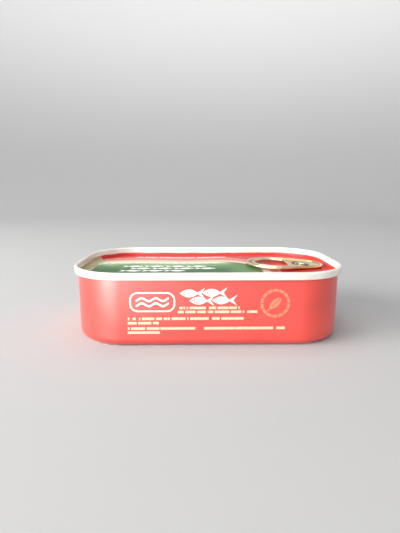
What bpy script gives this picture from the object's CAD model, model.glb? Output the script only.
"""Studio model of a shut sardine tin with a ring pull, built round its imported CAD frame.

The tin is made of a drawn red body, a white double seam, a sunk printed lid and a pale gold ring
pull held by a rivet. Sizes of the tin are in millimetres and come from the frame's boxes or from a
named field; a mesh is scaled to metres once, when its piece is finished. The studio is in metres.
"""

import logging
import math
from dataclasses import dataclass, field
from enum import Enum
from typing import Callable, Sequence

import bmesh
import bpy
from mathutils import Matrix, Vector


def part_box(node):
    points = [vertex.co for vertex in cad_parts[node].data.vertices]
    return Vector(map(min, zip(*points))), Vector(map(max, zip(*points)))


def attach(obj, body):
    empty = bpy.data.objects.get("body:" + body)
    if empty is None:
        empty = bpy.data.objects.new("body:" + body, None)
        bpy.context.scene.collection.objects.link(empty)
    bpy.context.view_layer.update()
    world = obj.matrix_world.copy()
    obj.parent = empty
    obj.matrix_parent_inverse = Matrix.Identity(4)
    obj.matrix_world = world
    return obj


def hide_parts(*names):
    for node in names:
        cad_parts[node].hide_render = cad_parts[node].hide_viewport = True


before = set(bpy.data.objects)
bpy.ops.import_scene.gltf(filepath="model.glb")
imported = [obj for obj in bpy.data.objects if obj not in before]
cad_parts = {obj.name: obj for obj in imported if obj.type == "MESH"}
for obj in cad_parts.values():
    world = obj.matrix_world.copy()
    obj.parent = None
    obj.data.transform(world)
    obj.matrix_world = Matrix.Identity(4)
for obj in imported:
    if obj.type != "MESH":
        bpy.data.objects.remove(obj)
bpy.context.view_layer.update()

log = logging.getLogger("sardine_tin")

MM = 0.001
WELD = 1e-4
PATH_WELD = 20 * WELD
BODY = "root"
ORIGIN = Vector((0, 0, 0))

Mesh = bmesh.types.BMesh
Socket = bpy.types.NodeSocket
Colour = tuple[float, float, float]
Pair = tuple[float, float]
Range = tuple[float, float]


def linear(value: int) -> float:
    """One display value, 0 to 255, as linear light."""
    share = value / 255
    return share / 12.92 if value <= 10 else ((share + 0.055) / 1.055) ** 2.4


def srgb(red: int, green: int, blue: int) -> Colour:
    """A linear colour from its display values, 0 to 255."""
    return linear(red), linear(green), linear(blue)


# ---------------------------------------------------------------------------------------------
# Sizes
# ---------------------------------------------------------------------------------------------


@dataclass(frozen=True)
class TinPlan:
    """The tin's plan, a rectangle with round corners, and its levels, in millimetres.

    Every distance called an inset runs inwards from the seam's outer face.
    """

    length: float
    width: float
    height: float
    wall_inset: float
    neck_z: float
    corner_r: float = 20.5
    panel_depth: float = 3.4

    @classmethod
    def from_frame(cls) -> "TinPlan":
        """Reads the plan from the boxes of the frame's body and lid.

        Returns:
            The plan, in millimetres.
        """
        _body_low, body_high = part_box("body")
        lid_low, lid_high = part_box("lid")
        return cls(
            length=(lid_high.x - lid_low.x) / MM,
            width=(lid_high.y - lid_low.y) / MM,
            height=lid_high.z / MM,
            wall_inset=(lid_high.x - body_high.x) / MM,
            neck_z=body_high.z / MM,
        )

    @property
    def half_l(self) -> float:
        """Half the straight stretch of a long side."""
        return self.length / 2 - self.corner_r

    @property
    def half_w(self) -> float:
        """Half the straight stretch of a short side."""
        return self.width / 2 - self.corner_r

    @property
    def panel_z(self) -> float:
        """Height of the lid's panel."""
        return self.height - self.panel_depth

    def radius(self, inset: float) -> float:
        """Distance from a corner's axis at an inset."""
        return self.corner_r - inset


# ---------------------------------------------------------------------------------------------
# Mesh tools
# ---------------------------------------------------------------------------------------------


@dataclass(frozen=True)
class Corner:
    """One corner of an outline: its place, and how far along its edges it is rounded."""

    x: float
    z: float
    rounding: float = 0.0
    segments: int = 5


def verts_of(geom: Sequence) -> list:
    """The vertices among mesh elements."""
    return [g for g in geom if isinstance(g, bmesh.types.BMVert)]


def edges_of(geom: Sequence) -> list:
    """The edges among mesh elements."""
    return [g for g in geom if isinstance(g, bmesh.types.BMEdge)]


def outline_wire(bm: Mesh, corners: Sequence[Corner], closed: bool, origin: Vector) -> None:
    """Draws an outline in the plane of x and z through origin and rounds its corners.

    Args:
        bm: The mesh that receives the wire.
        corners: The outline's corners in order.
        closed: Whether the last corner joins the first.
        origin: The point from which the corners are measured.
    """
    verts = [bm.verts.new(origin + Vector((c.x, 0, c.z))) for c in corners]
    pairs = list(zip(verts, verts[1:]))
    if closed:
        pairs.append((verts[-1], verts[0]))
    for a, b in pairs:
        bm.edges.new((a, b))
    for vert, corner in zip(verts, corners):
        if corner.rounding > 0:
            bmesh.ops.bevel(
                bm, geom=[vert], offset=corner.rounding, offset_type="OFFSET", affect="VERTICES",
                segments=corner.segments, profile=0.5, material=-1, clamp_overlap=True,
            )


def spin(bm: Mesh, geom: list, centre: Pair, degrees: float, steps: int, whole: bool = False) -> list:
    """Turns mesh elements about an upright axis, leaving faces or edges behind them.

    Args:
        bm: The mesh.
        geom: The vertices and edges that turn.
        centre: The axis, x and y.
        degrees: The angle of the turn.
        steps: Steps of the turn.
        whole: True for a full circle, whose ends are merged.

    Returns:
        The elements of the last step.
    """
    return bmesh.ops.spin(
        bm, geom=geom, cent=(*centre, 0), axis=(0, 0, 1), dvec=(0, 0, 0), angle=math.radians(degrees),
        steps=steps, use_merge=whole, use_normal_flip=False, use_duplicate=False,
    )["geom_last"]


def run_out(bm: Mesh, geom: list, step: Pair) -> list:
    """Extrudes a wire, or a single point, straight in the plane.

    Args:
        bm: The mesh.
        geom: The wire's elements, or one vertex.
        step: How far they run along x and y.

    Returns:
        The far vertices and edges.
    """
    edges = edges_of(geom)
    if edges:
        made = bmesh.ops.extrude_edge_only(bm, edges=edges)["geom"]
    else:
        made = bmesh.ops.extrude_vert_indiv(bm, verts=verts_of(geom))["verts"]
    verts = verts_of(made)
    bmesh.ops.translate(bm, verts=verts, vec=(*step, 0))
    far = set(verts)
    return verts + [e for e in edges_of(made) if far.issuperset(e.verts)]


def weld(bm: Mesh, distance: float = WELD) -> None:
    """Merges points closer than a distance and turns the faces outwards."""
    bmesh.ops.remove_doubles(bm, verts=bm.verts[:], dist=distance)
    bmesh.ops.recalc_face_normals(bm, faces=bm.faces[:])


def lathe(corners: Sequence[Corner], steps: int) -> Mesh:
    """Spins an open outline once round the z axis.

    Args:
        corners: The outline, which starts on the axis.
        steps: Steps of the full turn.

    Returns:
        The turned shell.
    """
    bm = bmesh.new()
    outline_wire(bm, corners, closed=False, origin=ORIGIN)
    spin(bm, bm.verts[:] + bm.edges[:], (0, 0), 360, steps, whole=True)
    weld(bm)
    return bm


def sweep_round_tin(plan: TinPlan, corners: Sequence[Corner], closed: bool, turns: int = 28) -> Mesh:
    """Sweeps an outline round the tin's plan: a quarter is turned and run out, then mirrored twice.

    Args:
        plan: The tin's plan.
        corners: The outline, where x is the distance from a corner's axis.
        closed: True for a hollow ring, False for an outline that starts and ends on the axis.
        turns: Steps of the quarter turn.

    Returns:
        The closed shell, in millimetres.
    """
    bm = bmesh.new()
    outline_wire(bm, corners, closed, Vector((plan.half_l, plan.half_w, 0)))
    start = bm.edges[:]
    end = edges_of(spin(bm, bm.verts[:] + start, (plan.half_l, plan.half_w), 90, turns))
    run_out(bm, start, (0, -plan.half_w))
    run_out(bm, end, (-plan.half_l, 0))
    if not closed:
        fill_middle(bm, plan)
    bmesh.ops.remove_doubles(bm, verts=bm.verts[:], dist=WELD)
    for axis in "XY":
        bmesh.ops.mirror(
            bm, geom=bm.verts[:] + bm.edges[:] + bm.faces[:], matrix=Matrix.Identity(4),
            merge_dist=WELD, axis=axis, mirror_u=False, mirror_v=False,
        )
    bmesh.ops.dissolve_degenerate(bm, dist=WELD, edges=bm.edges[:])
    bmesh.ops.recalc_face_normals(bm, faces=bm.faces[:])
    return bm


def fill_middle(bm: Mesh, plan: TinPlan) -> None:
    """Closes the rectangle between the corner axes, at each height where the outline meets the axis.

    Args:
        bm: The quarter shell.
        plan: The tin's plan.
    """
    on_axis = [
        e for e in bm.edges
        if all(abs(v.co.x - plan.half_l) < WELD and v.co.y < plan.half_w + WELD for v in e.verts)
        and abs(e.verts[0].co.y - e.verts[1].co.y) > plan.half_w / 2
    ]
    run_out(bm, on_axis, (-plan.half_l, 0))


@dataclass
class EdgeSweep:
    """Carries a wire along a path of turns and straight runs, leaving faces or edges behind it."""

    bm: Mesh
    geom: list

    def turn(self, centre: Pair, degrees: float, steps: int) -> None:
        """Turns the wire about an upright axis."""
        self.geom = spin(self.bm, self.geom, centre, degrees, steps)

    def run(self, dx: float, dy: float) -> None:
        """Runs the wire straight along x and y."""
        self.geom = run_out(self.bm, self.geom, (dx, dy))


def add_object(name: str, bm: Mesh, material: bpy.types.Material) -> bpy.types.Object:
    """Puts a smooth-shaded mesh in the scene, at the origin.

    Args:
        name: The name of the object and its mesh.
        bm: The mesh in metres. It is freed here.
        material: The finish that covers it.

    Returns:
        The object.
    """
    for face in bm.faces:
        face.smooth = True
    mesh = bpy.data.meshes.new(name)
    bm.to_mesh(mesh)
    bm.free()
    mesh.materials.append(material)
    made = bpy.data.objects.new(name, mesh)
    bpy.context.scene.collection.objects.link(made)
    return made


def size_words(mesh: bpy.types.Mesh) -> str:
    """A mesh's size along x, y and z in millimetres, for the log.

    Args:
        mesh: The finished mesh, in metres.

    Returns:
        The three sizes as text.
    """
    spans = []
    for axis in range(3):
        places = [v.co[axis] for v in mesh.vertices]
        spans.append((max(places) - min(places)) / MM)
    return " x ".join(f"{span:.1f}" for span in spans)


@dataclass(frozen=True)
class Piece:
    """How a finished mesh is named, dressed and tied to the frame."""

    name: str
    slot: str
    replaced: tuple[str, ...] = ()
    smooth_degrees: float = 32.0

    def finish(self, bm: Mesh, material: bpy.types.Material) -> bpy.types.Object:
        """Scales a mesh to metres, shades it and ties it to the frame.

        Args:
            bm: The piece's mesh in millimetres. It is freed here.
            material: The finish that covers the piece.

        Returns:
            The piece's object, at the origin.
        """
        bmesh.ops.scale(bm, vec=(MM, MM, MM), verts=bm.verts[:])
        piece = add_object(self.name, bm, material)
        mesh = piece.data
        mesh.set_sharp_from_angle(angle=math.radians(self.smooth_degrees))
        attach(piece, BODY)
        if self.replaced:
            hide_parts(*self.replaced)
        log.info("%s: %d faces, %s mm, slot %s", self.name, len(mesh.polygons), size_words(mesh), self.slot)
        return piece


# ---------------------------------------------------------------------------------------------
# Shader tools
# ---------------------------------------------------------------------------------------------


@dataclass(frozen=True)
class Grain:
    """A noise pattern: its scale for each millimetre, its detail, its roughness and its stretch."""

    scale: float
    detail: float = 2.0
    roughness: float = 0.5
    stretch: tuple[float, float, float] = (1.0, 1.0, 1.0)


@dataclass(frozen=True)
class Gloss:
    """The fixed numbers of a coated surface, with its relief in millimetres."""

    roughness: float
    unevenness: float
    relief: float
    relief_strength: float = 0.5
    metallic: float = 0.0
    coat: float = 0.0
    coat_roughness: float = 0.05
    specular: float = 0.5


@dataclass
class Graph:
    """Adds nodes to one node tree. Its number methods take sockets or plain numbers."""

    tree: bpy.types.NodeTree

    def node(self, kind: str, **settings: object) -> bpy.types.Node:
        """Adds a node.

        Args:
            kind: The node's type.
            **settings: Its properties by name.

        Returns:
            The node.
        """
        made = self.tree.nodes.new(kind)
        for name, value in settings.items():
            setattr(made, name, value)
        return made

    def feed(self, target: Socket, value: object) -> None:
        """Joins a socket to an input, or sets the input's own number.

        Args:
            target: The input.
            value: A socket, a number or a tuple of numbers.
        """
        if isinstance(value, Socket):
            self.tree.links.new(value, target)
        else:
            target.default_value = value

    def math(
        self, operation: str, a: object, b: object = 0.0, c: object = 0.0, clamp: bool = False
    ) -> Socket:
        """Adds one Math node.

        Args:
            operation: The node's operation.
            a: The first input.
            b: The second input.
            c: The third input.
            clamp: Whether the result is kept between 0 and 1.

        Returns:
            The result.
        """
        made = self.node("ShaderNodeMath", operation=operation, use_clamp=clamp)
        for target, value in zip(made.inputs, (a, b, c)):
            self.feed(target, value)
        return made.outputs[0]

    def add(self, a: object, b: object) -> Socket:
        """a plus b."""
        return self.math("ADD", a, b)

    def sub(self, a: object, b: object) -> Socket:
        """a minus b."""
        return self.math("SUBTRACT", a, b)

    def mul(self, a: object, b: object) -> Socket:
        """a times b."""
        return self.math("MULTIPLY", a, b)

    def most(self, a: object, b: object) -> Socket:
        """The larger of a and b."""
        return self.math("MAXIMUM", a, b)

    def least(self, a: object, b: object) -> Socket:
        """The smaller of a and b."""
        return self.math("MINIMUM", a, b)

    def size(self, a: object) -> Socket:
        """a without its sign."""
        return self.math("ABSOLUTE", a)

    def flip(self, a: object) -> Socket:
        """a with its sign turned."""
        return self.math("MULTIPLY", a, -1.0)

    def length(self, a: object, b: object) -> Socket:
        """The distance of the point a, b from the origin."""
        return self.math("SQRT", self.add(self.mul(a, a), self.mul(b, b)))

    def beyond(self, value: object, middle: float, half: float) -> Socket:
        """How far a value lies outside middle plus or minus half."""
        return self.sub(self.size(self.sub(value, middle)), half)

    def spread(self, value: object, low: float, span: float) -> Socket:
        """low where a value is 0 and low plus span where it is 1."""
        return self.add(self.mul(value, span), low)

    def inside(self, distance: object, edge: float = 0.07) -> Socket:
        """1 where a distance is below 0, with a soft edge that many millimetres wide."""
        return self.math("MULTIPLY_ADD", distance, -1.0 / edge, 0.5, clamp=True)

    def union(self, masks: Sequence[Socket]) -> Socket:
        """The largest of several masks.

        Args:
            masks: The masks, at least one.

        Returns:
            Their union.
        """
        whole = masks[0]
        for mask in masks[1:]:
            whole = self.most(whole, mask)
        return whole

    def ramp(self, value: object, low: float, high: float) -> Socket:
        """A smooth step.

        Args:
            value: The number that steers it.
            low: Where it is 0.
            high: Where it is 1, which may be below low.

        Returns:
            The step, from 0 to 1.
        """
        made = self.node("ShaderNodeMapRange", interpolation_type="SMOOTHSTEP", clamp=True)
        self.feed(made.inputs["Value"], value)
        made.inputs["From Min"].default_value = low
        made.inputs["From Max"].default_value = high
        return made.outputs["Result"]

    def mix(self, factor: object, a: object, b: object) -> Socket:
        """Lays one colour over another.

        Args:
            factor: How much of b shows, 0 to 1.
            a: The colour beneath, a socket or a colour.
            b: The colour on top, a socket or a colour.

        Returns:
            The mixed colour.
        """
        made = self.node("ShaderNodeMix", data_type="RGBA", clamp_factor=True)
        colours = [s for s in made.inputs if s.type == "RGBA"]
        self.feed(made.inputs["Factor"], factor)
        for target, value in zip(colours, (a, b)):
            self.feed(target, value if isinstance(value, Socket) else (*value, 1.0))
        return next(s for s in made.outputs if s.type == "RGBA")

    def stretched(self, vector: Socket, factors: tuple[float, float, float]) -> Socket:
        """Scales a vector by a different factor along each axis.

        Args:
            vector: The vector.
            factors: The three factors.

        Returns:
            The scaled vector.
        """
        made = self.node("ShaderNodeVectorMath", operation="MULTIPLY")
        self.feed(made.inputs[0], vector)
        made.inputs[1].default_value = factors
        return made.outputs[0]

    def noise(self, point: Socket, grain: Grain) -> Socket:
        """Grey noise, around 0.5.

        Args:
            point: The place in millimetres.
            grain: The pattern.

        Returns:
            The noise.
        """
        made = self.node("ShaderNodeTexNoise")
        self.feed(made.inputs["Vector"], self.stretched(point, grain.stretch))
        made.inputs["Scale"].default_value = grain.scale
        made.inputs["Detail"].default_value = grain.detail
        made.inputs["Roughness"].default_value = grain.roughness
        return made.outputs[0]

    def dice(self, value: Socket, width: object, seed: object) -> Socket:
        """A random number from 0 to 1 for each stretch of a line.

        Args:
            value: The place along the line.
            width: The width of a stretch.
            seed: A number that makes this line differ from others.

        Returns:
            The random number.
        """
        made = self.node("ShaderNodeTexWhiteNoise", noise_dimensions="1D")
        cell = self.math("FLOOR", self.math("DIVIDE", value, width))
        self.feed(made.inputs["W"], self.add(cell, seed))
        return made.outputs["Value"]

    def place(self) -> tuple[Socket, Socket, Socket, Socket]:
        """Finds the point on the piece.

        Returns:
            The point in millimetres as a vector, then its x, y and z.
        """
        coordinates = self.node("ShaderNodeTexCoord").outputs["Object"]
        point = self.stretched(coordinates, (1 / MM, 1 / MM, 1 / MM))
        parts = self.node("ShaderNodeSeparateXYZ")
        self.feed(parts.inputs[0], point)
        return point, parts.outputs[0], parts.outputs[1], parts.outputs[2]

    def bump(self, height: Socket, gloss: Gloss) -> Socket:
        """Roughens the normal by a height.

        Args:
            height: The relief's height, around 0 to 1.
            gloss: The surface, which gives the relief's depth and strength.

        Returns:
            The normal.
        """
        made = self.node("ShaderNodeBump")
        made.inputs["Strength"].default_value = gloss.relief_strength
        made.inputs["Distance"].default_value = gloss.relief * MM
        self.feed(made.inputs["Height"], height)
        return made.outputs[0]


@dataclass(frozen=True)
class Painted:
    """What a finish paints: its colour, the pattern of its roughness and the height of its relief."""

    colour: Socket
    wear: Socket
    height: Socket


class Finish:
    """What every finish shares: a name, a gloss, and nodes that paint it."""

    name: str
    gloss: Gloss

    def paint(self, g: Graph) -> Painted:
        """Adds the finish's own nodes."""
        raise NotImplementedError

    def material(self) -> bpy.types.Material:
        """Makes the finish's material.

        Returns:
            The material, whose roughness and relief follow the painted patterns.
        """
        made = bpy.data.materials.new(self.name)
        made.use_nodes = True
        g = Graph(made.node_tree)
        shader = made.node_tree.nodes["Principled BSDF"]
        shader.inputs["Metallic"].default_value = self.gloss.metallic
        shader.inputs["Specular IOR Level"].default_value = self.gloss.specular
        shader.inputs["Coat Weight"].default_value = self.gloss.coat
        shader.inputs["Coat Roughness"].default_value = self.gloss.coat_roughness
        painted = self.paint(g)
        roughness = g.spread(painted.wear, self.gloss.roughness, self.gloss.unevenness)
        g.feed(shader.inputs["Base Color"], painted.colour)
        g.feed(shader.inputs["Roughness"], roughness)
        g.feed(shader.inputs["Normal"], g.bump(painted.height, self.gloss))
        return made


# ---------------------------------------------------------------------------------------------
# Print motifs
# ---------------------------------------------------------------------------------------------


def box_distance(g: Graph, u: object, v: object, half_u: float, half_v: float, round_r: float) -> Socket:
    """Distance from the edge of a rectangle with round corners, centred on u = v = 0.

    Args:
        g: The graph that receives the nodes.
        u: Place along the rectangle.
        v: Place across it.
        half_u: Half its length.
        half_v: Half its height.
        round_r: Radius of its corners.

    Returns:
        The distance, below 0 inside.
    """
    qu = g.sub(g.size(u), half_u - round_r)
    qv = g.sub(g.size(v), half_v - round_r)
    outside = g.length(g.most(qu, 0.0), g.most(qv, 0.0))
    within = g.least(g.most(qu, qv), 0.0)
    return g.sub(g.add(outside, within), round_r)


def tin_inset(g: Graph, plan: TinPlan, x: Socket, y: Socket) -> Socket:
    """How far a point lies in from the seam's outer face."""
    return g.flip(box_distance(g, x, y, plan.length / 2, plan.width / 2, plan.corner_r))


@dataclass(frozen=True)
class FishShape:
    """A plain fish that faces -u: a pointed body, a forked tail, a gill line and an eye.

    Its sizes are shares of its length.
    """

    middle_u: float = -0.12
    body_stretch: float = 2.6
    belly: float = 0.17
    tail_root: float = 0.17
    tail_start: float = 0.2
    tail_spread: float = 0.62
    notch_end: float = 0.39
    notch_slope: float = 1.5
    gill_u: float = -0.52
    gill_r: float = 0.23
    gill_half_w: float = 0.014
    gill_half_h: float = 0.1
    eye_u: float = -0.38
    eye_v: float = 0.02
    eye_r: float = 0.022

    def draw(self, g: Graph, s: dict[str, Socket]) -> Socket:
        """Adds the fish's nodes.

        Args:
            g: The motif's graph.
            s: Its inputs: u and v from the middle of the fish, and its length.

        Returns:
            The fish's mask.
        """
        u = g.math("DIVIDE", s["u"], s["length"])
        v = g.math("DIVIDE", s["v"], s["length"])
        across = g.size(v)
        along = g.mul(g.sub(u, self.middle_u), self.body_stretch)
        body = g.sub(across, g.mul(g.sub(1.0, g.mul(along, along)), self.belly))
        fork = g.sub(across, g.mul(g.sub(u, self.tail_root), self.tail_spread))
        notch = g.sub(g.mul(g.sub(u, self.notch_end), self.notch_slope), across)
        tail = g.most(g.most(fork, notch), g.sub(self.tail_start, u))
        gill_arc = g.beyond(g.length(g.sub(u, self.gill_u), v), self.gill_r, self.gill_half_w)
        gill = g.most(gill_arc, g.sub(across, self.gill_half_h))
        eye = g.sub(g.length(g.sub(u, self.eye_u), g.sub(v, self.eye_v)), self.eye_r)
        fish = g.most(g.least(body, tail), g.flip(g.least(gill, eye)))
        return g.inside(g.mul(fish, s["length"]))


@dataclass(frozen=True)
class WordBars:
    """A line of plain bars of uneven length, which stands for a line of print.

    Widths are shares of the line's height.
    """

    cell_w: float = 0.56
    gap_chance: float = 0.11
    gap_sharpness: float = 4.0
    cell_seed: float = 17.3
    speck_w: float = 0.42
    speck_seed: float = 5.1
    palest: float = 0.8

    def draw(self, g: Graph, s: dict[str, Socket]) -> Socket:
        """Adds the line's nodes.

        Args:
            g: The motif's graph.
            s: Its inputs: u and v, where the line starts, its length, its height and its seed.

        Returns:
            The bars' mask, which is a little uneven in strength.
        """
        half = g.mul(s["length"], 0.5)
        ends = g.sub(g.size(g.sub(g.sub(s["u"], s["start"]), half)), half)
        bar = g.sub(g.size(s["v"]), g.mul(s["height"], 0.5))
        words = g.dice(s["u"], g.mul(s["height"], self.cell_w), g.mul(s["seed"], self.cell_seed))
        gap = g.mul(g.sub(self.gap_chance, words), self.gap_sharpness)
        specks = g.dice(s["u"], g.mul(s["height"], self.speck_w), g.mul(s["seed"], self.speck_seed))
        shape = g.most(g.most(ends, bar), gap)
        return g.mul(g.inside(shape), g.spread(specks, self.palest, 1.0 - self.palest))


@dataclass(frozen=True)
class Badge:
    """A frame with round corners and two waves in it."""

    half_l: float = 8.2
    half_h: float = 3.7
    corner_r: float = 3.0
    frame_half_w: float = 0.3
    wave_turn: float = 1.25
    wave_h: float = 0.55
    wave_level: float = 0.95
    wave_half_w: float = 0.42
    wave_half_l: float = 5.9
    wave_limit: float = 2.4

    def draw(self, g: Graph, u: Socket, v: Socket) -> Socket:
        """Adds the badge's nodes.

        Args:
            g: The material's graph.
            u: Place along the badge, from its middle.
            v: Place up it, from its middle.

        Returns:
            The badge's mask.
        """
        edge = box_distance(g, u, v, self.half_l, self.half_h, self.corner_r)
        rim = g.beyond(edge, -self.frame_half_w, self.frame_half_w)
        swell = g.sub(v, g.mul(g.math("SINE", g.mul(u, self.wave_turn)), self.wave_h))
        crest = g.math("PINGPONG", g.add(swell, self.wave_level), self.wave_level)
        limits = g.most(g.sub(g.size(swell), self.wave_limit), g.sub(g.size(u), self.wave_half_l))
        return g.inside(g.least(rim, g.most(g.sub(crest, self.wave_half_w), limits)))


@dataclass(frozen=True)
class LeafSeal:
    """A ring of dashes round a slanted leaf with a midrib and a stalk."""

    ring_r: float = 4.85
    ring_half_w: float = 0.5
    dashes: int = 14
    gap_share: float = 0.08
    gap_sharpness: float = 3.0
    leaf_half_w: float = 1.35
    leaf_bow: float = 9.6
    rib_half_w: float = 0.16
    stalk_middle: float = -2.9
    stalk_half_l: float = 1.1
    stalk_half_w: float = 0.2

    def draw(self, g: Graph, u: Socket, v: Socket) -> Socket:
        """The seal's mask, from places along and up it."""
        return g.inside(g.least(self.ring(g, u, v), self.leaf(g, u, v)))

    def ring(self, g: Graph, u: Socket, v: Socket) -> Socket:
        """Draws the ring of dashes.

        Args:
            g: The material's graph.
            u: Place along the seal, from its middle.
            v: Place up it, from its middle.

        Returns:
            The distance outside its dashes.
        """
        whole_dashes = 100.0
        turn = g.add(g.mul(g.math("ARCTAN2", v, u), self.dashes / math.tau), whole_dashes)
        gap = g.mul(g.sub(self.gap_share, g.math("PINGPONG", turn, 0.5)), self.gap_sharpness)
        return g.most(g.beyond(g.length(u, v), self.ring_r, self.ring_half_w), gap)

    def leaf(self, g: Graph, u: Socket, v: Socket) -> Socket:
        """Draws the leaf, which leans at 45 degrees.

        Args:
            g: The material's graph.
            u: Place along the seal, from its middle.
            v: Place up it, from its middle.

        Returns:
            The distance outside its blade and stalk.
        """
        along = g.mul(g.add(u, v), math.sqrt(0.5))
        across = g.size(g.mul(g.sub(u, v), math.sqrt(0.5)))
        bow = g.sub(1.0, g.mul(g.mul(along, along), 1.0 / self.leaf_bow))
        blade = g.sub(across, g.mul(bow, self.leaf_half_w))
        rib = g.sub(self.rib_half_w, across)
        stalk_end = g.beyond(along, self.stalk_middle, self.stalk_half_l)
        stalk = g.most(g.sub(across, self.stalk_half_w), stalk_end)
        return g.least(g.most(blade, rib), stalk)


class Motif(Enum):
    """The print motifs that are drawn more than once, each as a node group."""

    FISH = ("fish", ("u", "v", "length"), FishShape().draw)
    WORDS = ("word line", ("u", "v", "start", "length", "height", "seed"), WordBars().draw)

    def tree(self) -> bpy.types.NodeTree:
        """The motif's node group, made at its first use."""
        name, inputs, draw = self.value
        return bpy.data.node_groups.get(name) or motif_group(name, inputs, draw)

    def stamp(self, g: Graph, **values: object) -> Socket:
        """Adds one copy of the motif.

        Args:
            g: The material's graph.
            **values: The group's inputs by name.

        Returns:
            The copy's mask.
        """
        made = g.node("ShaderNodeGroup", node_tree=self.tree())
        for label, value in values.items():
            g.feed(made.inputs[label], value)
        return made.outputs["mask"]


def motif_group(
    name: str, inputs: Sequence[str], draw: Callable[[Graph, dict[str, Socket]], Socket]
) -> bpy.types.NodeTree:
    """Makes a node group with number inputs and one mask output.

    Args:
        name: The group's name.
        inputs: The names of its inputs.
        draw: Adds the nodes and returns the mask.

    Returns:
        The node group.
    """
    tree = bpy.data.node_groups.new(name, "ShaderNodeTree")
    for label in inputs:
        tree.interface.new_socket(name=label, in_out="INPUT", socket_type="NodeSocketFloat")
    tree.interface.new_socket(name="mask", in_out="OUTPUT", socket_type="NodeSocketFloat")
    graph = Graph(tree)
    source = graph.node("NodeGroupInput")
    target = graph.node("NodeGroupOutput")
    mask = draw(graph, {label: source.outputs[label] for label in inputs})
    graph.feed(target.inputs["mask"], mask)
    return tree


@dataclass(frozen=True)
class PrintLine:
    """Where a line of bars runs: its start and length along u, its level along v and its height."""

    start: float
    length: float
    level: float
    height: float

    def stamp(self, g: Graph, u: Socket, v: Socket, seed: float) -> Socket:
        """Adds the line.

        Args:
            g: The material's graph.
            u: Place along the line.
            v: Place up the print.
            seed: The number that makes its bars differ from other lines'.

        Returns:
            The line's mask.
        """
        return Motif.WORDS.stamp(
            g, u=u, v=g.sub(v, self.level), start=self.start, length=self.length, height=self.height,
            seed=seed,
        )


# ---------------------------------------------------------------------------------------------
# Finishes
# ---------------------------------------------------------------------------------------------


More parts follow.
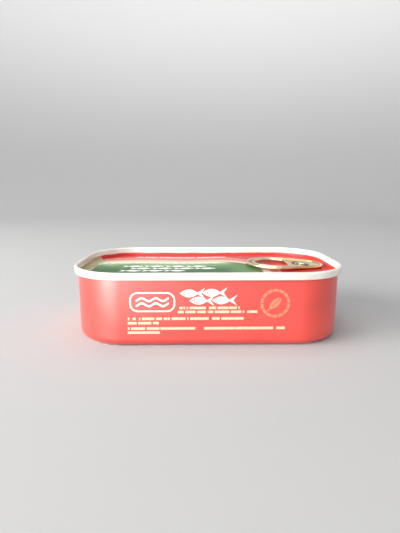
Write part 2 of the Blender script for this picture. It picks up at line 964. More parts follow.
@dataclass(frozen=True)
class RedLacquer(Finish):
    """Glossy red lacquer on the drawn body, printed in white, cream and gold on both long sides."""

    plan: TinPlan
    name: str = "red lacquer"
    red: Colour = srgb(227, 74, 64)
    white: Colour = srgb(250, 246, 240)
    cream: Colour = srgb(250, 226, 190)
    gold: Colour = srgb(236, 156, 112)
    metal: Colour = srgb(176, 150, 130)
    deep_share: float = 0.86
    cream_cover: float = 0.9
    gold_cover: float = 0.68
    print_depth: float = 0.6
    print_fade: float = 0.2
    badge: Badge = Badge()
    badge_at: Pair = (-20.8, 17.1)
    seal: LeafSeal = LeafSeal()
    seal_at: Pair = (23.4, 16.5)
    fish_l: float = 8.6
    fish_at: tuple[Pair, ...] = ((-6.6, 20.3), (1.4, 20.5), (-3.2, 17.6), (4.9, 17.7))
    lines: tuple[PrintLine, ...] = (
        PrintLine(-11.3, 22.3, 14.9, 0.95),
        PrintLine(-11.7, 29.2, 13.4, 0.95),
        PrintLine(-29.7, 41.8, 10.9, 1.0),
        PrintLine(-29.8, 11.5, 9.25, 0.95),
        PrintLine(-29.8, 57.0, 7.2, 1.0),
        PrintLine(-29.9, 11.6, 5.65, 0.95),
    )
    tone: Grain = Grain(0.05)
    tone_range: Range = (0.35, 0.65)
    scuffs: Grain = Grain(1.6, 5.0, 0.65)
    scuff_range: Range = (0.55, 0.68)
    scuff_heights: Range = (0.35, 0.02)
    scuff_cover: float = 0.8
    smudges: Grain = Grain(0.16, 4.0, 0.6)
    peel: Grain = Grain(1.1)
    peel_share: float = 0.5
    draw_marks: Grain = Grain(2.2, 3.0, stretch=(1.0, 1.0, 0.06))
    draw_share: float = 0.35
    ink_share: float = 0.6
    gloss: Gloss = Gloss(0.27, 0.16, relief=0.018, coat=0.6, coat_roughness=0.28, specular=0.4)

    def side_print(self, g: Graph, x: Socket, y: Socket, z: Socket) -> tuple[Socket, Socket, Socket]:
        """Draws the print on the long sides.

        Args:
            g: The material's graph.
            x: Place along the tin.
            y: Place across the tin; the back side repeats the front, turned round.
            z: Height.

        Returns:
            The white, cream and gold masks.
        """
        u = g.flip(g.mul(x, g.math("SIGN", y)))
        print_face = self.plan.width / 2 - self.plan.wall_inset - self.print_depth
        on_side = g.inside(g.sub(print_face, g.size(y)), self.print_fade)
        white = [self.badge.draw(g, g.sub(u, self.badge_at[0]), g.sub(z, self.badge_at[1]))]
        for start, level in self.fish_at:
            white.append(Motif.FISH.stamp(g, u=g.sub(u, start), v=g.sub(z, level), length=self.fish_l))
        cream = [line.stamp(g, u, z, float(i)) for i, line in enumerate(self.lines)]
        gold = self.seal.draw(g, g.sub(u, self.seal_at[0]), g.sub(z, self.seal_at[1]))
        return g.mul(g.union(white), on_side), g.mul(g.union(cream), on_side), g.mul(gold, on_side)

    def paint(self, g: Graph) -> Painted:
        """Paints the red with its print, and bare metal where the resting edge is scuffed.

        Args:
            g: The material's graph.

        Returns:
            The painted patterns.
        """
        point, x, y, z = g.place()
        white, cream, gold = self.side_print(g, x, y, z)
        deep = tuple(c * self.deep_share for c in self.red)
        colour = g.mix(g.ramp(g.noise(point, self.tone), *self.tone_range), deep, self.red)
        colour = g.mix(g.mul(cream, self.cream_cover), colour, self.cream)
        colour = g.mix(g.mul(gold, self.gold_cover), colour, self.gold)
        colour = g.mix(white, colour, self.white)
        scuff = g.ramp(g.noise(point, self.scuffs), *self.scuff_range)
        scuff = g.mul(scuff, g.ramp(z, *self.scuff_heights))
        colour = g.mix(g.mul(scuff, self.scuff_cover), colour, self.metal)
        ink = g.mul(g.union([white, cream, gold]), self.ink_share)
        marks = g.mul(g.noise(point, self.draw_marks), self.draw_share)
        height = g.add(g.mul(g.noise(point, self.peel), self.peel_share), g.add(marks, ink))
        return Painted(colour, g.noise(point, self.smudges), height)


@dataclass(frozen=True)
class WhiteEnamel(Finish):
    """Glossy white enamel on the double seam, with a few rubbed spots along its top."""

    plan: TinPlan
    name: str = "white enamel"
    white: Colour = srgb(240, 238, 232)
    shade: Colour = srgb(226, 221, 208)
    metal: Colour = srgb(168, 162, 150)
    tone: Grain = Grain(0.07, 3.0)
    tone_range: Range = (0.3, 0.7)
    rubs: Grain = Grain(0.9, 6.0, 0.7)
    rub_range: Range = (0.64, 0.7)
    rub_depth: float = 0.12
    rub_full_depth: float = 0.02
    rub_cover: float = 0.55
    wear: Grain = Grain(0.4, 3.0)
    ripple: Grain = Grain(1.1, stretch=(0.35, 0.35, 1.0))
    gloss: Gloss = Gloss(0.24, 0.12, relief=0.03, relief_strength=0.45, coat=1.0, coat_roughness=0.07)

    def paint(self, g: Graph) -> Painted:
        """Paints the white, and bare metal where its top is rubbed.

        Args:
            g: The material's graph.

        Returns:
            The painted patterns.
        """
        point, _x, _y, z = g.place()
        colour = g.mix(g.ramp(g.noise(point, self.tone), *self.tone_range), self.shade, self.white)
        rub = g.ramp(g.noise(point, self.rubs), *self.rub_range)
        on_top = g.ramp(z, self.plan.height - self.rub_depth, self.plan.height - self.rub_full_depth)
        colour = g.mix(g.mul(g.mul(rub, on_top), self.rub_cover), colour, self.metal)
        return Painted(colour, g.noise(point, self.wear), g.noise(point, self.ripple))


@dataclass(frozen=True)
class LidPrint(Finish):
    """The varnished print of the sunk lid: a green sea, a pale wave and a red field.

    The wave's crest runs along the tin and swoops forwards under the ring pull. Most places are
    given as a distance behind the crest.
    """

    plan: TinPlan
    name: str = "lid print"
    enamel: Colour = srgb(236, 232, 222)
    red: Colour = srgb(194, 50, 48)
    pink: Colour = srgb(238, 158, 142)
    rose: Colour = srgb(194, 116, 102)
    cream: Colour = srgb(220, 188, 170)
    pale_green: Colour = srgb(222, 234, 206)
    light_green: Colour = srgb(150, 182, 132)
    green: Colour = srgb(84, 128, 74)
    dark_green: Colour = srgb(38, 92, 48)
    deep_green: Colour = srgb(92, 96, 62)
    olive: Colour = srgb(186, 176, 140)
    white: Colour = srgb(246, 246, 238)
    crest_y: float = 8.5
    swoop_x: float = 5.0
    swoop_r: float = 17.0
    swell_turn: float = 0.16
    swell_h: float = 0.7
    ragged: Grain = Grain(0.9, 4.0, 0.7)
    ragged_h: float = 1.6
    narrow_range: Range = (12.0, 22.0)
    narrow_share: float = 0.4
    streaks: Grain = Grain(0.35, 4.0, 0.6, stretch=(0.3, 1.0, 1.0))
    streak_reach: float = 9.0
    deep_range: Range = (-17.0, -9.0)
    shallow_range: Range = (-9.0, -3.6)
    foam_range: Range = (-4.6, -2.4)
    swoop_range: Range = (3.0, 13.0)
    shadow_range: Range = (-5.0, -1.0)
    arc_rows: tuple[float, ...] = (1.9, 3.6, 5.3)
    arc_half_gap: float = 1.7
    arc_r: float = 1.55
    arc_half_w: float = 0.2
    arc_fade: float = 0.14
    arc_x_range: Range = (9.0, 3.0)
    arc_range: Range = (-1.0, -2.2)
    arc_cover: float = 0.6
    fish_l: float = 8.6
    fish_rows: tuple[int, ...] = (4, 4, 3)
    fish_start: Pair = (-31.0, -0.9)
    fish_gap: Pair = (8.8, 4.4)
    fish_stagger: float = 3.6
    crest_line: PrintLine = PrintLine(-9.0, 42.0, 11.4, 1.5)
    sea_lines: tuple[PrintLine, ...] = (
        PrintLine(2.0, 30.0, -14.4, 0.9),
        PrintLine(2.0, 22.0, -16.4, 0.9),
    )
    line_seed: float = 9.0
    border_inset: float = 5.5
    border_fade: float = 0.2
    border_end: float = 10.0
    border_end_fade: float = 0.5
    border_cover: float = 0.9
    edge_depth: float = 2.35
    edge_lean_x: float = 0.005
    edge_lean_y: float = -0.008
    edge_wander: Grain = Grain(0.14)
    edge_wander_middle: float = 0.45
    edge_wander_h: float = 0.7
    edge_fade: float = 0.12
    edge_foot: Range = (-0.2, 0.3)
    wear: Grain = Grain(0.2, 4.0)
    grain: Grain = Grain(1.4, 3.0)
    gloss: Gloss = Gloss(0.36, 0.2, relief=0.014, coat=0.15, coat_roughness=0.2, specular=0.25)

    def bands(self) -> tuple[tuple[float, float, Colour], ...]:
        """Lists the fields behind the crest.

        Returns:
            For each field, where it starts, where it is full, and its colour.
        """
        return (
            (-0.7, 0.4, self.cream),
            (3.4, 5.0, self.rose),
            (8.9, 9.3, self.pink),
            (9.9, 10.3, self.red),
        )

    def paint(self, g: Graph) -> Painted:
        """Paints the picture from the sea up, then its motifs, its border and the bare wall.

        Args:
            g: The material's graph.

        Returns:
            The painted patterns.
        """
        point, x, y, z = g.place()
        above = self.above_wave(g, point, x, y)
        colour = self.sea(g, point, x, above)
        for start, full, band in self.bands():
            colour = g.mix(g.ramp(above, start, full), colour, band)
        colour = g.mix(g.mul(self.wavelets(g, x, y, above), self.arc_cover), colour, self.deep_green)
        colour = g.mix(self.fish_shoal(g, x, y), colour, self.white)
        colour = g.mix(self.small_print(g, x, y, above), colour, self.white)
        colour = g.mix(g.mul(self.border(g, x, y, above), self.border_cover), colour, self.olive)
        colour = g.mix(self.bare_edge(g, point, x, y, z), colour, self.enamel)
        return Painted(colour, g.noise(point, self.wear), g.noise(point, self.grain))

    def above_wave(self, g: Graph, point: Socket, x: Socket, y: Socket) -> Socket:
        """Measures how far a point lies behind the wave's crest.

        Args:
            g: The material's graph.
            point: The point on the lid.
            x: Place along the tin.
            y: Place across it.

        Returns:
            The distance, below 0 in the sea.
        """
        swell = g.mul(g.math("SINE", g.mul(x, self.swell_turn)), self.swell_h)
        ragged = g.mul(g.sub(g.noise(point, self.ragged), 0.5), self.ragged_h)
        along = g.most(g.sub(x, self.swoop_x), 0.0)
        across = g.most(g.sub(y, self.crest_y - self.swoop_r), 0.0)
        beyond = g.sub(g.length(along, across), self.swoop_r)
        narrowing = g.add(1.0, g.mul(g.ramp(x, *self.narrow_range), self.narrow_share))
        return g.add(g.mul(beyond, narrowing), g.sub(ragged, swell))

    def sea(self, g: Graph, point: Socket, x: Socket, above: Socket) -> Socket:
        """Paints the streaked green sea: pale near the crest, but olive where it swoops forwards.

        Args:
            g: The material's graph.
            point: The point on the lid.
            x: Place along the tin.
            above: Distance behind the crest.

        Returns:
            The sea's colour.
        """
        streaks = g.mul(g.sub(g.noise(point, self.streaks), 0.5), self.streak_reach)
        deep = g.add(above, streaks)
        water = g.mix(g.ramp(deep, *self.deep_range), self.dark_green, self.green)
        foam = g.mix(g.ramp(deep, *self.shallow_range), water, self.light_green)
        foam = g.mix(g.ramp(above, *self.foam_range), foam, self.pale_green)
        shadow = g.mix(g.ramp(above, *self.shadow_range), water, self.deep_green)
        return g.mix(g.ramp(x, *self.swoop_range), foam, shadow)

    def wavelets(self, g: Graph, x: Socket, y: Socket, above: Socket) -> Socket:
        """Draws rows of small arcs in the pale water behind the shoal.

        Args:
            g: The material's graph.
            x: Place along the tin.
            y: Place across it.
            above: Distance behind the crest.

        Returns:
            The arcs' mask.
        """
        whole_arcs = 60
        rows = []
        for row, level in enumerate(self.arc_rows):
            shift = self.arc_half_gap * (whole_arcs + row % 2)
            u = g.math("PINGPONG", g.add(x, shift), self.arc_half_gap)
            v = g.sub(y, level)
            arc = g.beyond(g.length(u, v), self.arc_r, self.arc_half_w)
            rows.append(g.inside(g.most(arc, g.flip(v)), self.arc_fade))
        here = g.mul(g.ramp(x, *self.arc_x_range), g.ramp(above, *self.arc_range))
        return g.mul(g.union(rows), here)

    def fish_shoal(self, g: Graph, x: Socket, y: Socket) -> Socket:
        """Draws rows of white fish that read from the back of the tin.

        Args:
            g: The material's graph.
            x: Place along the tin.
            y: Place across it.

        Returns:
            The shoal's mask.
        """
        masks = []
        for row, count in enumerate(self.fish_rows):
            level = self.fish_start[1] - self.fish_gap[1] * row
            for i in range(count):
                start = self.fish_start[0] + self.fish_gap[0] * i + self.fish_stagger * (row % 2)
                u = g.flip(g.sub(x, start))
                v = g.flip(g.sub(y, level))
                masks.append(Motif.FISH.stamp(g, u=u, v=v, length=self.fish_l))
        return g.union(masks)

    def small_print(self, g: Graph, x: Socket, y: Socket, above: Socket) -> Socket:
        """Draws lines of bars: one in the red that follows the wave, and two in the green.

        Args:
            g: The material's graph.
            x: Place along the tin.
            y: Place across it.
            above: Distance behind the crest.

        Returns:
            The bars' mask.
        """
        u = g.flip(x)
        masks = [self.crest_line.stamp(g, u, above, self.line_seed)]
        for i, line in enumerate(self.sea_lines, start=1):
            masks.append(line.stamp(g, u, y, self.line_seed + i))
        return g.union(masks)

    def border(self, g: Graph, x: Socket, y: Socket, above: Socket) -> Socket:
        """The mask of the olive border, which ends where the red field starts."""
        outer = g.inside(g.sub(tin_inset(g, self.plan, x, y), self.border_inset), self.border_fade)
        return g.mul(outer, g.inside(g.sub(above, self.border_end), self.border_end_fade))

    def bare_edge(self, g: Graph, point: Socket, x: Socket, y: Socket, z: Socket) -> Socket:
        """Finds the white chuck wall above the print, whose edge wanders a little.

        Args:
            g: The material's graph.
            point: The point on the lid.
            x: Place along the tin.
            y: Place across it.
            z: Height.

        Returns:
            The bare wall's mask.
        """
        lean = g.add(g.mul(y, self.edge_lean_y), g.mul(g.size(x), self.edge_lean_x))
        noise = g.noise(point, self.edge_wander)
        wander = g.mul(g.sub(noise, self.edge_wander_middle), self.edge_wander_h)
        edge = g.add(g.add(lean, wander), self.plan.height - self.edge_depth)
        foot, full = (self.plan.panel_z + rise for rise in self.edge_foot)
        return g.mul(g.inside(g.sub(edge, z), self.edge_fade), g.ramp(z, foot, full))


@dataclass(frozen=True)
class SheetMetal(Finish):
    """Bright sheet metal under a clear lacquer, with rolling marks and two tones along the tin."""

    name: str
    pale: Colour
    deep: Colour
    pale_x: float = 30.0
    deep_x: float = 38.0
    tone: Grain = Grain(0.35, 3.0)
    tone_share: float = 0.6
    turn_share: float = 0.6
    tone_range: Range = (0.2, 0.8)
    rolling: Grain = Grain(3.0, 4.0, 0.6, stretch=(0.12, 2.0, 1.0))
    gloss: Gloss = Gloss(0.16, 0.18, relief=0.012, metallic=1.0, coat=0.4, coat_roughness=0.12)

    def paint(self, g: Graph) -> Painted:
        """Paints the metal, pale at one end of the ring pull and deep at the other.

        Args:
            g: The material's graph.

        Returns:
            The painted patterns.
        """
        point, x, _y, _z = g.place()
        tone = g.mul(g.noise(point, self.tone), self.tone_share)
        turned = g.add(tone, g.mul(g.ramp(x, self.pale_x, self.deep_x), self.turn_share))
        colour = g.mix(g.ramp(turned, *self.tone_range), self.pale, self.deep)
        rolled = g.noise(point, self.rolling)
        return Painted(colour, rolled, rolled)


class TabMetal(Enum):
    """The metals of the ring pull and its rivet."""

    CURLED_EDGE = SheetMetal("pale gold metal", srgb(248, 228, 190), srgb(228, 182, 118))
    WEB = SheetMetal("dull gold metal", srgb(222, 200, 154), srgb(140, 104, 58), pale_x=34.0, deep_x=24.0)
    RIVET = SheetMetal("bright rivet metal", srgb(238, 230, 212), srgb(206, 194, 168))

    def material(self) -> bpy.types.Material:
        """The metal's finished material."""
        return self.value.material()


@dataclass(frozen=True)
class StudioPaper(Finish):
    """Plain pale matt paper, a little lighter up the wall than on the floor."""

    name: str = "studio paper"
    floor: Colour = srgb(178, 178, 178)
    wall: Colour = srgb(232, 232, 232)
    fade_low: float = 60.0
    fade_high: float = 700.0
    grain: Grain = Grain(0.8)
    gloss: Gloss = Gloss(0.5, 0.1, relief=0.02, relief_strength=0.2, specular=0.0)

    def paint(self, g: Graph) -> Painted:
        """Paints the paper, lighter with height.

        Args:
            g: The material's graph.

        Returns:
            The painted patterns.
        """
        point, _x, _y, z = g.place()
        grain = g.noise(point, self.grain)
        colour = g.mix(g.ramp(z, self.fade_low, self.fade_high), self.floor, self.wall)
        return Painted(colour, grain, grain)


# ---------------------------------------------------------------------------------------------
# Sub-assemblies
# ---------------------------------------------------------------------------------------------


@dataclass
class DrawnBody:
    """The red cup: straight walls, a rounded bottom edge, a resting ring and a stepped bottom."""

    plan: TinPlan
    finish: RedLacquer
    edge_r: float = 3.2
    rest_w: float = 2.6
    rise: float = 0.9
    second_step: float = 3.4
    second_slope: float = 0.9
    second_rise: float = 0.35
    top_gap: float = 0.02
    lip_w: float = 0.6
    closing_z: float = 23.4

    def outline(self) -> list[Corner]:
        """Lays out the body's outline.

        Returns:
            The corners from the middle of its bottom round to the middle of its top.
        """
        wall = self.plan.radius(self.plan.wall_inset)
        top = self.plan.neck_z - self.top_gap
        step = wall - self.edge_r - self.rest_w
        inner = step - self.second_step
        middle_z = self.rise + self.second_rise
        return [
            Corner(0, middle_z),
            Corner(inner - self.second_slope, middle_z, rounding=0.35, segments=3),
            Corner(inner, self.rise, rounding=0.35, segments=3),
            Corner(step - self.rise, self.rise, rounding=0.45, segments=4),
            Corner(step, 0, rounding=0.3, segments=3),
            Corner(wall, 0, rounding=self.edge_r, segments=10),
            Corner(wall, top),
            Corner(wall - self.lip_w, top),
            Corner(wall - self.lip_w, self.closing_z),
            Corner(0, self.closing_z),
        ]

    def build(self) -> bpy.types.Object:
        """Makes the body, ties it to the frame and returns it."""
        bm = sweep_round_tin(self.plan, self.outline(), closed=False)
        return Piece("body_shell", "red_lacquer", ("body",)).finish(bm, self.finish.material())


@dataclass
class DoubleSeam:
    """The rolled white rim: a rounded ring that hooks under itself and runs down the chuck wall."""

    plan: TinPlan
    finish: WhiteEnamel
    height: float = 2.8
    thickness: float = 1.35
    top_r: float = 0.6
    foot_r: float = 0.42
    hook_w: float = 0.1
    hook_h: float = 0.2
    hook_r: float = 0.05
    root_w: float = 0.45
    chuck_lean: float = 14.0
    chuck_drop: float = 1.9

    def chuck_inset(self, depth: float) -> float:
        """Inset of the chuck wall at a depth below the seam's top."""
        return self.thickness + max(0.0, depth - self.top_r) * math.tan(math.radians(self.chuck_lean))

    def outline(self) -> list[Corner]:
        """Lays out the ring's closed outline.

        Returns:
            The corners, anticlockwise from the foot of its outer face.
        """
        p = self.plan
        top = p.height
        foot = top - self.height
        low = top - self.chuck_drop
        wall = p.radius(p.wall_inset)
        return [
            Corner(wall - self.root_w, foot + self.hook_h),
            Corner(wall, foot + self.hook_h),
            Corner(wall + self.hook_w, foot, rounding=self.hook_r, segments=2),
            Corner(p.radius(0), foot, rounding=self.foot_r, segments=5),
            Corner(p.radius(0), top, rounding=self.top_r, segments=8),
            Corner(p.radius(self.thickness), top, rounding=self.top_r, segments=8),
            Corner(p.radius(self.chuck_inset(self.chuck_drop)), low),
            Corner(wall - self.root_w, low),
        ]

    def build(self) -> None:
        """Makes the seam and ties it to the frame."""
        bm = sweep_round_tin(self.plan, self.outline(), closed=True)
        Piece("double_seam", "white_lacquer", ("lid",)).finish(bm, self.finish.material())


@dataclass
class LidPanel:
    """The sunk lid: lower chuck wall, countersink groove, outer band, score, bead line and panel."""

    plan: TinPlan
    seam: DoubleSeam
    finish: LidPrint
    countersink: float = 0.65
    groove_w: float = 1.25
    groove_slope: float = 0.55
    band_drop: float = 0.25
    band_w: float = 0.85
    score_w: float = 0.16
    score_depth: float = 0.1
    bead_inset: float = 6.1
    bead_w: float = 1.2
    bead_skew: float = 0.1
    bead_depth: float = 0.3
    wall_lap: float = 0.2
    under_inset: float = 0.62
    under_z: float = 23.42

    def outline(self) -> list[Corner]:
        """Lays out the panel's outline.

        Returns:
            The corners from the middle of its top out to the chuck wall and back beneath.
        """
        p = self.plan
        panel = p.panel_z
        groove = panel - self.countersink
        band = panel - self.band_drop
        wall_top_z = p.height - self.seam.chuck_drop
        wall_top = self.seam.chuck_inset(self.seam.chuck_drop)
        wall_foot = self.seam.chuck_inset(p.height - groove)
        groove_end = wall_foot + self.groove_w
        score = groove_end + self.band_w
        bead = self.bead_inset
        return [
            Corner(0, panel),
            Corner(p.radius(bead + self.bead_w / 2), panel, rounding=0.3, segments=4),
            Corner(p.radius(bead + self.bead_skew), band - self.bead_depth, rounding=0.18, segments=3),
            Corner(p.radius(bead - self.bead_w / 2), band, rounding=0.25, segments=3),
            Corner(p.radius(score + self.score_w), band),
            Corner(p.radius(score), band - self.score_depth),
            Corner(p.radius(score - self.score_w), band),
            Corner(p.radius(groove_end + self.groove_slope), band, rounding=0.3, segments=4),
            Corner(p.radius(groove_end), groove, rounding=0.3, segments=4),
            Corner(p.radius(wall_foot), groove, rounding=0.55, segments=6),
            Corner(p.radius(wall_top), wall_top_z),
            Corner(p.radius(wall_top - self.wall_lap), wall_top_z),
            Corner(p.radius(p.wall_inset + self.under_inset), self.under_z),
            Corner(0, self.under_z),
        ]

    def build(self) -> None:
        """Makes the panel and ties it to the frame."""
        bm = sweep_round_tin(self.plan, self.outline(), closed=False)
        Piece("lid_panel", "lid_print").finish(bm, self.finish.material())


@dataclass
class RingPull:
    """The ring pull: curled edges round the finger hole and the outside, and a flat web between.

    It is drawn flat with the rivet at the origin and the nose along +x, then tipped up at the
    ring and set on the panel.
    """

    plan: TinPlan
    ring_d: float = 23.4
    ring_steps: int = 40
    nose_d: float = 17.2
    nose_steps: int = 26
    tab_l: float = 32.3
    rivet_to_nose: float = 8.1
    curl_d: float = 1.15
    curl_sides: int = 18
    strand_w: float = 3.7
    hole_share: float = 0.84
    hole_steps: int = 36
    corner_r: float = 2.2
    corner_steps: int = 8
    lift: float = 1.5
    web_z: float = 0.2
    web_t: float = 0.5
    rivet_hole_r: float = 1.6
    rivet_hole_sides: int = 32
    slot_r: float = 4.2
    slot_w: float = 0.9
    slot_sweep: float = 230.0
    slot_steps: int = 30
    slot_end_steps: int = 6
    nose_tip_x: float = field(init=False)
    centre_y: float = field(init=False)

    def __post_init__(self) -> None:
        """Reads the ring pull's place from the frame."""
        low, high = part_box("tab")
        self.nose_tip_x = high.x / MM
        self.centre_y = (low.y + high.y) / 2 / MM

    @property
    def rivet_place(self) -> Vector:
        """The rivet's middle on the panel."""
        return Vector((self.nose_tip_x - self.rivet_to_nose, self.centre_y, self.plan.panel_z))

    @property
    def curl_r(self) -> float:
        """Radius of the curled edges."""
        return self.curl_d / 2

    @property
    def ring_x(self) -> float:
        """Centre of the finger ring."""
        return self.rivet_to_nose - self.tab_l + self.ring_d / 2

    @property
    def nose_x(self) -> float:
        """Centre of the nose's curve."""
        return self.rivet_to_nose - self.nose_d / 2

    @property
    def side_angle(self) -> float:
        """Angle at which the straight sides leave the ring and meet the nose, in degrees."""
        return math.degrees(math.acos((self.ring_d - self.nose_d) / 2 / (self.nose_x - self.ring_x)))

    @property
    def side_run(self) -> Pair:
        """The straight side's vector from the ring to the nose, on the upper side.

        Returns:
            How far it runs along x and y.
        """
        angle = math.radians(self.side_angle)
        drop = (self.ring_d - self.nose_d) / 2
        return self.nose_x - self.ring_x - drop * math.cos(angle), -drop * math.sin(angle)

    @property
    def hole_r(self) -> float:
        """Radius of the finger hole's bow."""
        return self.ring_d / 2 - self.strand_w

    @property
    def hole_corner(self) -> tuple[float, float, float]:
        """Centre of a corner of the finger hole, x and y, and the angle that its arc spans.

        Returns:
            The centre's x and y, and the angle in degrees.
        """
        x = self.ring_x - self.hole_r + 2 * self.hole_r * self.hole_share - self.corner_r
        reach = self.hole_r - self.corner_r
        angle = math.acos((x - self.ring_x) / reach)
        return x, reach * math.sin(angle), math.degrees(angle)

    def outside_start(self, z: float) -> Vector:
        """Where the outer curl's path starts, at a height."""
        return self.on_circle(self.ring_x, self.ring_d / 2 - self.curl_r, self.side_angle, z)

    def hole_start(self, z: float) -> Vector:
        """Where the finger hole's curl starts its path, at a height."""
        return self.on_circle(self.ring_x, self.hole_r + self.curl_r, self.hole_corner[2], z)

    @staticmethod
    def on_circle(x: float, r: float, degrees: float, z: float) -> Vector:
        """A point at a height on a circle round x on the ring pull's middle line."""
        angle = math.radians(degrees)
        return Vector((x + r * math.cos(angle), r * math.sin(angle), z))

    def trace_outside(self, sweep: EdgeSweep) -> None:
        """Carries a wire from the ring's upper side round the ring and the nose.

        Args:
            sweep: The wire at its start.
        """
        dx, dy = self.side_run
        sweep.turn((self.ring_x, 0), 360 - 2 * self.side_angle, self.ring_steps)
        sweep.run(dx, -dy)
        sweep.turn((self.nose_x, 0), 2 * self.side_angle, self.nose_steps)
        sweep.run(-dx, -dy)

    def trace_hole(self, sweep: EdgeSweep) -> None:
        """Carries a wire from the hole's upper corner round its bow, its corners and its bar.

        Args:
            sweep: The wire at its start.
        """
        x, y, angle = self.hole_corner
        sweep.turn((self.ring_x, 0), 360 - 2 * angle, self.hole_steps)
        sweep.turn((x, -y), angle, self.corner_steps)
        sweep.run(0, 2 * y)
        sweep.turn((x, y), angle, self.corner_steps)

    def trace_slot(self, bm: Mesh) -> None:
        """Draws the round-ended slot that frees the rivet's tongue on the ring side.

        Args:
            bm: The mesh that receives the slot's edge.
        """
        first = 180 - self.slot_sweep / 2
        last = 180 + self.slot_sweep / 2
        start = self.on_circle(0, self.slot_r + self.slot_w / 2, first, self.web_z)
        sweep = EdgeSweep(bm, [bm.verts.new(start)])
        for degrees, turn in ((last, self.slot_sweep), (first, -self.slot_sweep)):
            end = self.on_circle(0, self.slot_r, degrees, self.web_z)
            sweep.turn((0, 0), turn, self.slot_steps)
            sweep.turn((end.x, end.y), 180, self.slot_end_steps)

    def curl_wire(self, bm: Mesh, centre: Vector, heading: float) -> list:
        """Draws a round section that stands across the path's start.

        Args:
            bm: The mesh that receives it.
            centre: Its centre.
            heading: The angle of the section's plane, in degrees.

        Returns:
            Its vertices and edges.
        """
        stand = Matrix.Rotation(math.pi / 2, 3, "X")
        turn = Matrix.Rotation(math.radians(heading), 3, "Z")
        made = bmesh.ops.create_circle(bm, cap_ends=False, segments=self.curl_sides, radius=self.curl_r)
        verts = made["verts"]
        bmesh.ops.rotate(bm, verts=verts, cent=ORIGIN, matrix=stand)
        bmesh.ops.rotate(bm, verts=verts, cent=ORIGIN, matrix=turn)
        bmesh.ops.translate(bm, verts=verts, vec=centre)
        return verts + list(dict.fromkeys(e for v in verts for e in v.link_edges))

    def curls(self) -> Mesh:
        """Makes the two curled edges.

        Returns:
            Their closed tubes, in millimetres.
        """
        bm = bmesh.new()
        start = self.curl_wire(bm, self.outside_start(self.curl_r), self.side_angle)
        self.trace_outside(EdgeSweep(bm, start))
        start = self.curl_wire(bm, self.hole_start(self.curl_r), self.hole_corner[2])
        self.trace_hole(EdgeSweep(bm, start))
        weld(bm, PATH_WELD)
        return bm

    def web(self) -> Mesh:
        """Makes the flat metal between the curls, with the rivet's hole and the tongue's slot.

        Returns:
            The closed plate, in millimetres.
        """
        bm = bmesh.new()
        self.trace_outside(EdgeSweep(bm, [bm.verts.new(self.outside_start(self.web_z))]))
        self.trace_hole(EdgeSweep(bm, [bm.verts.new(self.hole_start(self.web_z))]))
        self.trace_slot(bm)
        bmesh.ops.create_circle(
            bm, cap_ends=False, segments=self.rivet_hole_sides, radius=self.rivet_hole_r,
            matrix=Matrix.Translation((0, 0, self.web_z)),
        )
        bmesh.ops.remove_doubles(bm, verts=bm.verts[:], dist=PATH_WELD)
        bmesh.ops.triangle_fill(
            bm, use_beauty=True, use_dissolve=False, edges=bm.edges[:], normal=(0, 0, 1)
        )
        raised = bmesh.ops.extrude_face_region(bm, geom=bm.faces[:])["geom"]
        bmesh.ops.translate(bm, verts=verts_of(raised), vec=(0, 0, self.web_t))
        bmesh.ops.recalc_face_normals(bm, faces=bm.faces[:])
        return bm

    def set_down(self, bm: Mesh) -> Mesh:
        """Tips a flat mesh up at the ring and sets it on the lid's panel.

        Args:
            bm: The mesh, which is changed.

        Returns:
            The same mesh.
        """
        nose = Vector((self.rivet_to_nose, 0, 0))
        tip_up = Matrix.Rotation(math.radians(self.lift), 3, "Y")
        bmesh.ops.rotate(bm, verts=bm.verts[:], cent=nose, matrix=tip_up)
        bmesh.ops.translate(bm, verts=bm.verts[:], vec=self.rivet_place)
        return bm

    def build(self) -> None:
        """Makes the curled edges and the web and ties them to the frame."""
        curls = self.set_down(self.curls())
        Piece("tab_curled_edges", "gold_metal", ("tab",)).finish(curls, TabMetal.CURLED_EDGE.material())
        web = self.set_down(self.web())
        Piece("tab_web", "gold_metal").finish(web, TabMetal.WEB.material())


@dataclass
class Rivet:
    """The button that holds the ring pull, with a dished head and a coined foot on the panel."""

    pull: RingPull
    steps: int = 40
    root_z: float = -0.3
    foot_r: float = 2.3
    foot_flare: float = 0.25
    foot_h: float = 0.25
    stem_r: float = 1.5
    head_r: float = 2.6
    head_z: float = 1.02
    head_h: float = 0.5
    dish_r: float = 1.5
    dish_slope: float = 0.35
    dish_depth: float = 0.22

    def outline(self) -> list[Corner]:
        """Lays out the rivet's outline.

        Returns:
            The corners from the middle of its foot to the middle of its head.
        """
        top = self.head_z + self.head_h
        dish_z = top - self.dish_depth
        return [
            Corner(0, self.root_z),
            Corner(self.foot_r + self.foot_flare, self.root_z),
            Corner(self.foot_r, self.foot_h, rounding=0.12, segments=3),
            Corner(self.stem_r, self.foot_h, rounding=0.08, segments=2),
            Corner(self.stem_r, self.head_z),
            Corner(self.head_r, self.head_z, rounding=0.1, segments=3),
            Corner(self.head_r, top, rounding=0.32, segments=6),
            Corner(self.dish_r, top, rounding=0.2, segments=4),
            Corner(self.dish_r - self.dish_slope, dish_z, rounding=0.2, segments=4),
            Corner(0, dish_z),
        ]

    def build(self) -> None:
        """Makes the rivet, sets it on the panel and ties it to the frame."""
        bm = lathe(self.outline(), self.steps)
        bmesh.ops.translate(bm, verts=bm.verts[:], vec=self.pull.rivet_place)
        Piece("rivet_button", "bare_metal").finish(bm, TabMetal.RIVET.material())


# ---------------------------------------------------------------------------------------------
# Studio
# ---------------------------------------------------------------------------------------------


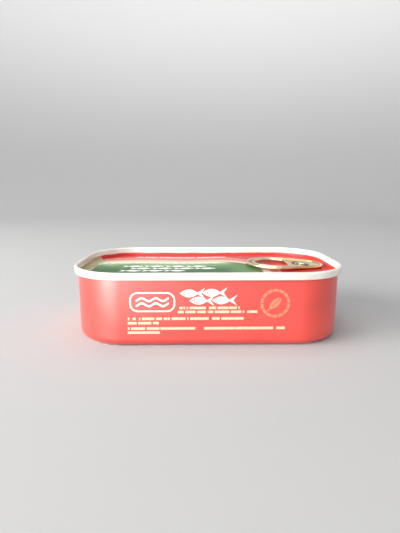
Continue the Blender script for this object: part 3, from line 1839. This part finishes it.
@dataclass(frozen=True)
class SoftBox:
    """One rectangular area light that looks at a target, in metres and watts."""

    name: str
    place: tuple[float, float, float]
    size: Pair
    watts: float
    tint: Colour = (1.0, 1.0, 1.0)
    target: tuple[float, float, float] = (0.0, 0.0, 0.014)
    mirrored: bool = True

    def build(self) -> bpy.types.Object:
        """Adds the light to the scene.

        Returns:
            The light's object.
        """
        data = bpy.data.lights.new(self.name, "AREA")
        data.shape = "RECTANGLE"
        data.size, data.size_y = self.size
        data.energy = self.watts
        data.color = self.tint
        lamp = bpy.data.objects.new(self.name, data)
        lamp.location = self.place
        lamp.visible_camera = False
        lamp.visible_glossy = self.mirrored
        aim = Vector(self.target) - Vector(self.place)
        lamp.rotation_euler = aim.to_track_quat("-Z", "Y").to_euler()
        bpy.context.scene.collection.objects.link(lamp)
        return lamp


WINDOW_TINT: Colour = (1.0, 0.985, 0.96)


@dataclass
class Studio:
    """The pale round backdrop, the soft lights and the camera."""

    floor_r: float = 1.3
    sweep_r: float = 0.7
    wall_h: float = 1.6
    backdrop_steps: int = 64
    camera_place: tuple[float, float, float] = (-6.7, -169.3, 58.6)
    pitch: float = 0.200
    yaw: float = 0.021
    roll: float = -0.002
    lens: float = 27.54
    sensor: float = 36.0
    nearest: float = 0.005
    world_tone: Colour = (0.9, 0.92, 0.95)
    world_strength: float = 0.42
    boxes: tuple[SoftBox, ...] = (
        SoftBox("left window", (-0.85, -0.4, 0.38), (0.7, 0.45), 10.5, WINDOW_TINT),
        SoftBox("left strip", (-0.5, -0.12, 0.17), (0.3, 0.2), 1.9, WINDOW_TINT, mirrored=False),
        SoftBox("overhead", (-0.1, 0.1, 0.8), (0.8, 0.6), 1.3),
        SoftBox("front fill", (-0.2, -0.75, 0.35), (0.6, 0.4), 3.6),
        SoftBox("wall wash", (0.0, 0.3, 1.1), (0.8, 0.3), 4.5, target=(0.0, 1.3, 0.4)),
    )
    glow: SoftBox = SoftBox("left glow", (-0.26, -0.34, 0.11), (0.24, 0.2), 20.0, (1.0, 0.97, 0.93))

    def build_backdrop(self) -> None:
        """Makes the floor, which sweeps up into a round wall and faces inwards."""
        corners = [
            Corner(0, 0),
            Corner(self.floor_r, 0, rounding=self.sweep_r, segments=16),
            Corner(self.floor_r, self.wall_h),
        ]
        bm = lathe(corners, self.backdrop_steps)
        bmesh.ops.reverse_faces(bm, faces=bm.faces[:])
        add_object("studio_backdrop", bm, StudioPaper().material())

    def build_world(self) -> None:
        """Gives the room an even pale light."""
        world = bpy.data.worlds.new("studio")
        world.use_nodes = True
        background = world.node_tree.nodes["Background"]
        background.inputs["Color"].default_value = (*self.world_tone, 1.0)
        background.inputs["Strength"].default_value = self.world_strength
        bpy.context.scene.world = world

    def build_camera(self) -> None:
        """Places the camera and makes it the scene's own."""
        data = bpy.data.cameras.new("camera")
        data.sensor_width = self.sensor
        data.lens = self.lens
        data.clip_start = self.nearest
        camera = bpy.data.objects.new("camera", data)
        upright = Matrix.Rotation(math.pi / 2 - self.pitch, 4, "X")
        turn = Matrix.Rotation(-self.yaw, 4, "Z")
        tilt = Matrix.Rotation(-self.roll, 4, "Z")
        camera.matrix_world = Matrix.Translation(Vector(self.camera_place) * MM) @ turn @ upright @ tilt
        bpy.context.scene.collection.objects.link(camera)
        bpy.context.scene.camera = camera

    def build(self) -> None:
        """Sets up the whole studio."""
        self.build_backdrop()
        self.build_world()
        self.build_camera()
        for box in self.boxes:
            box.build()
        view = bpy.context.scene.view_settings
        view.view_transform = "Standard"
        view.look = "None"

    def add_glow(self, piece: bpy.types.Object) -> None:
        """Adds a soft highlight that only one piece's gloss picks up.

        Args:
            piece: The piece on which the highlight falls.
        """
        lamp = self.glow.build()
        lamp.visible_diffuse = False
        receivers = bpy.data.collections.new("glow receivers")
        receivers.objects.link(piece)
        lamp.light_linking.receiver_collection = receivers


def main() -> None:
    """Builds the studio and every sub-assembly of the tin, in order."""
    logging.basicConfig(level=logging.INFO, format="%(name)s: %(message)s")
    plan = TinPlan.from_frame()
    log.info("tin %.1f x %.1f x %.1f mm", plan.length, plan.width, plan.height)
    studio = Studio()
    studio.build()
    shell = DrawnBody(plan, RedLacquer(plan)).build()
    studio.add_glow(shell)
    seam = DoubleSeam(plan, WhiteEnamel(plan))
    seam.build()
    LidPanel(plan, seam, LidPrint(plan)).build()
    pull = RingPull(plan)
    pull.build()
    Rivet(pull).build()


if __name__ == "__main__":
    main()
